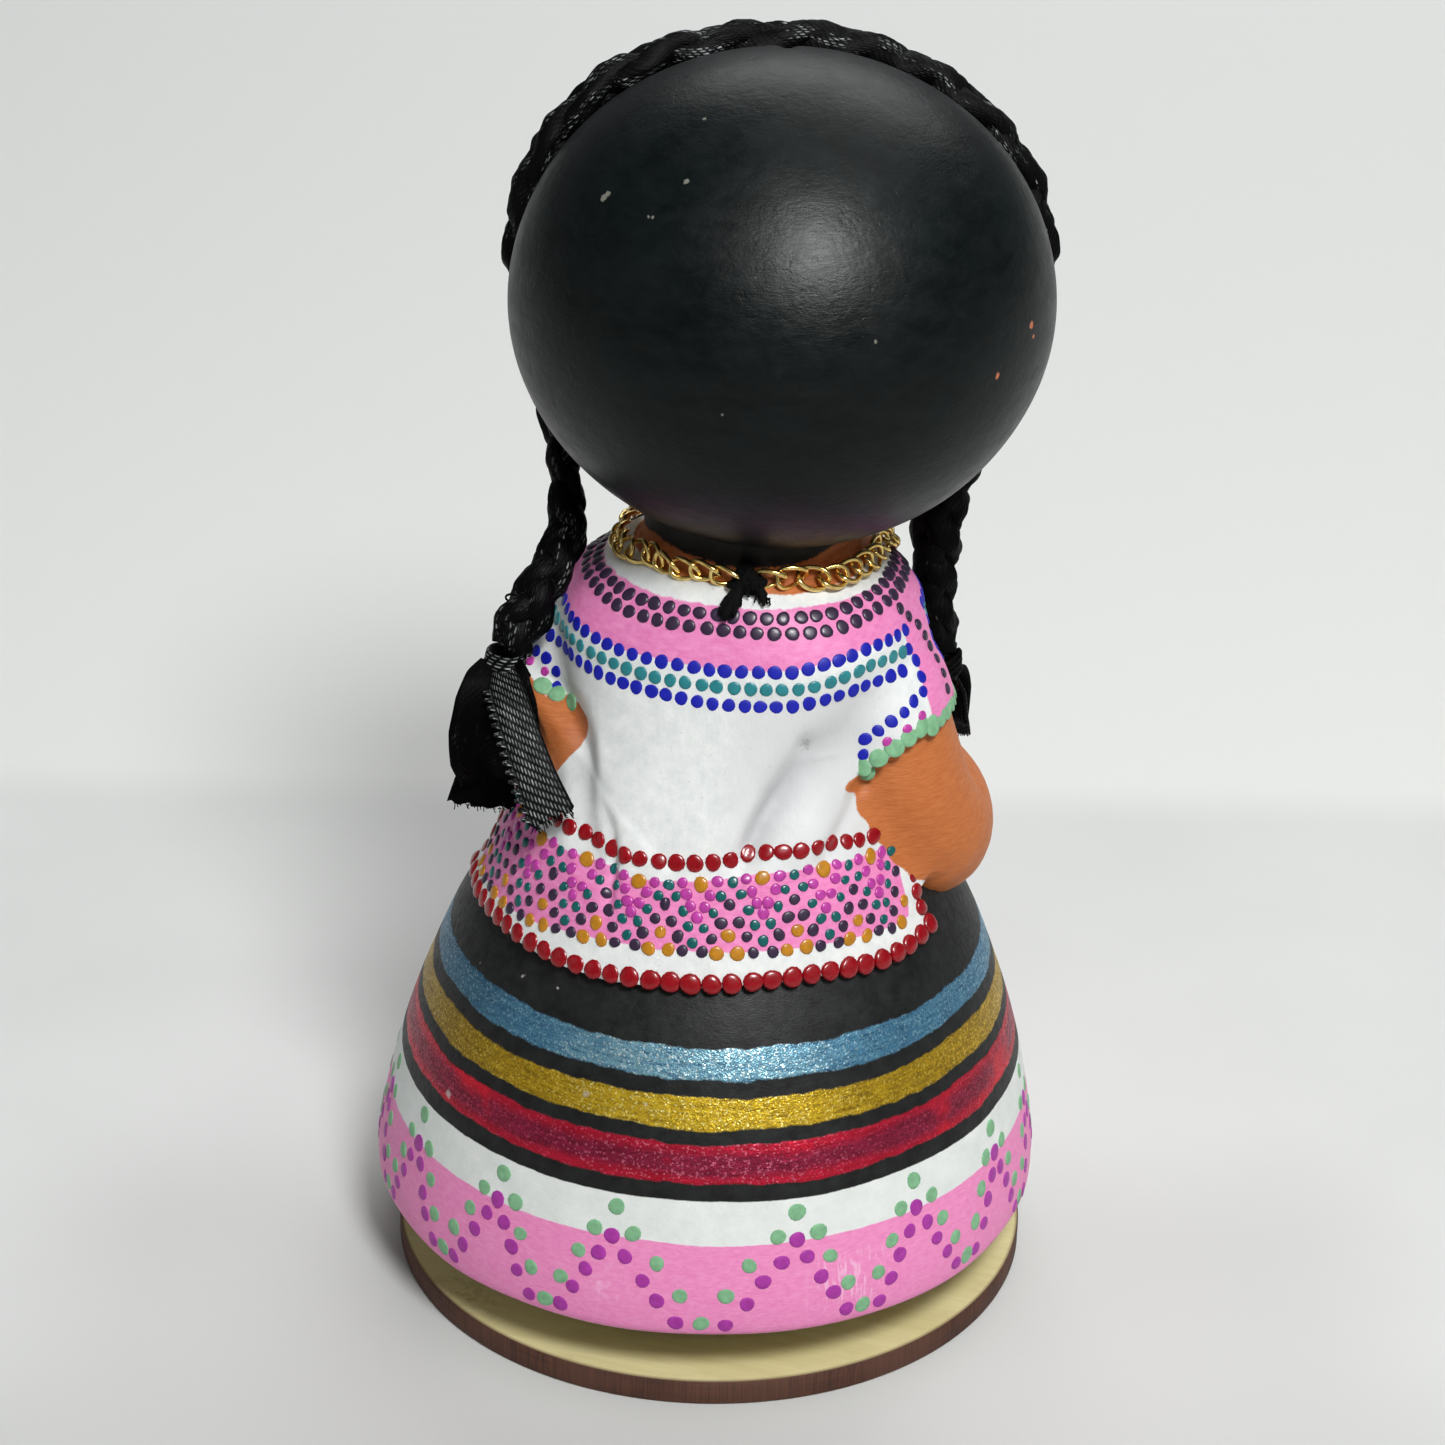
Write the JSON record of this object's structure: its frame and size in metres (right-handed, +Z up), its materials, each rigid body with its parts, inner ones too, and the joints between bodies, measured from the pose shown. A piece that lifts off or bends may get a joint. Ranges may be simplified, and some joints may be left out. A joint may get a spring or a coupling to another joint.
{
  "type": "painted clay folk figurine of a woman",
  "caption": "Standing clay folk figurine of a woman in a bell skirt and dotted blouse, ribbon braid over the head, on a thin wooden disc.",
  "frame": {"origin": "centre of the wooden disc's underside", "axes": "+Z up through the figure, -Y the way the body faces, +X the figure's own left hand"},
  "size_m": [0.073, 0.0731, 0.1359],
  "materials": {
    "clay_paint": "satin acrylic paint on fired clay, with raised glossy paint dots",
    "wood_disc": "raw sawn board with a dark burnt edge",
    "black_ribbon": "woven satin",
    "gold_chain": "polished",
    "black_thread": "matt twisted thread"
  },
  "bodies": {
    "root": {"wooden_disc": "wood_disc", "clay_figure": "clay_paint", "braid_crown": "black_ribbon", "braid_end_left": "black_ribbon", "braid_end_right": "black_ribbon", "ribbon_tie_left": "black_ribbon", "ribbon_tie_right": "black_ribbon", "neck_chain": "gold_chain", "chain_thread": "black_thread"}
  },
  "joints": []
}
